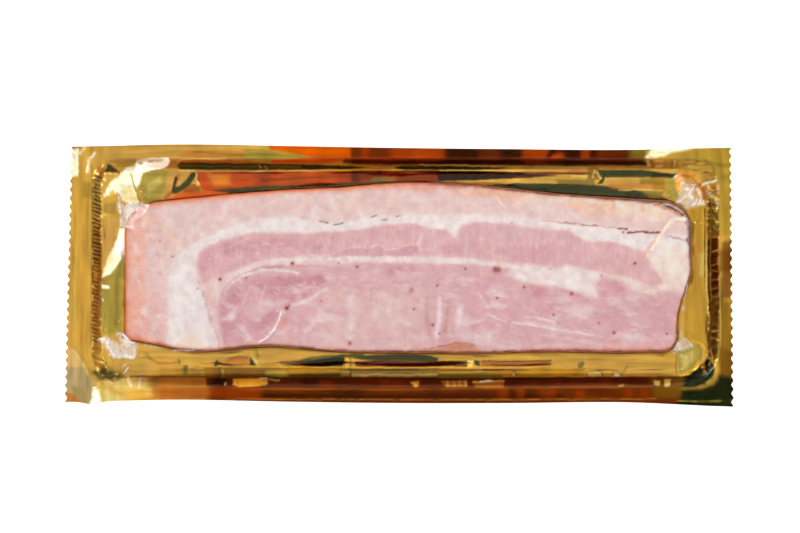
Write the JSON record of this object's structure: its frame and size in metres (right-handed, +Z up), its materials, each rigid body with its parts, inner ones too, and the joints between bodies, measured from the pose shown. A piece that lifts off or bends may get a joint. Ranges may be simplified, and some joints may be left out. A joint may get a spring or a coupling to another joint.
{
  "type": "vacuum-packed slab bacon",
  "caption": "Flat slab of smoked streaky bacon, cut face up, sealed in a shallow gold foil tray with a clear film lid and serrated ends.",
  "frame": {"origin": "middle of the flat base, at the level the pack rests on", "axes": "+X along the pack, +Y towards the slab's smoked rind side, +Z up through the cut face"},
  "size_m": [0.241, 0.0944, 0.027],
  "materials": {
    "gold_film": "metallised gold forming film, mirror bright, with soft dents and puckers",
    "bacon": "moist cured pork, dusty pink lean and cream white fat, with a thin smoked rind",
    "clear_film": "clear glossy lid film, drawn tight over the slab"
  },
  "bodies": {
    "root": {"gold_tray": "gold_film", "bacon_slab": "bacon", "clear_lid": "clear_film"}
  },
  "joints": []
}
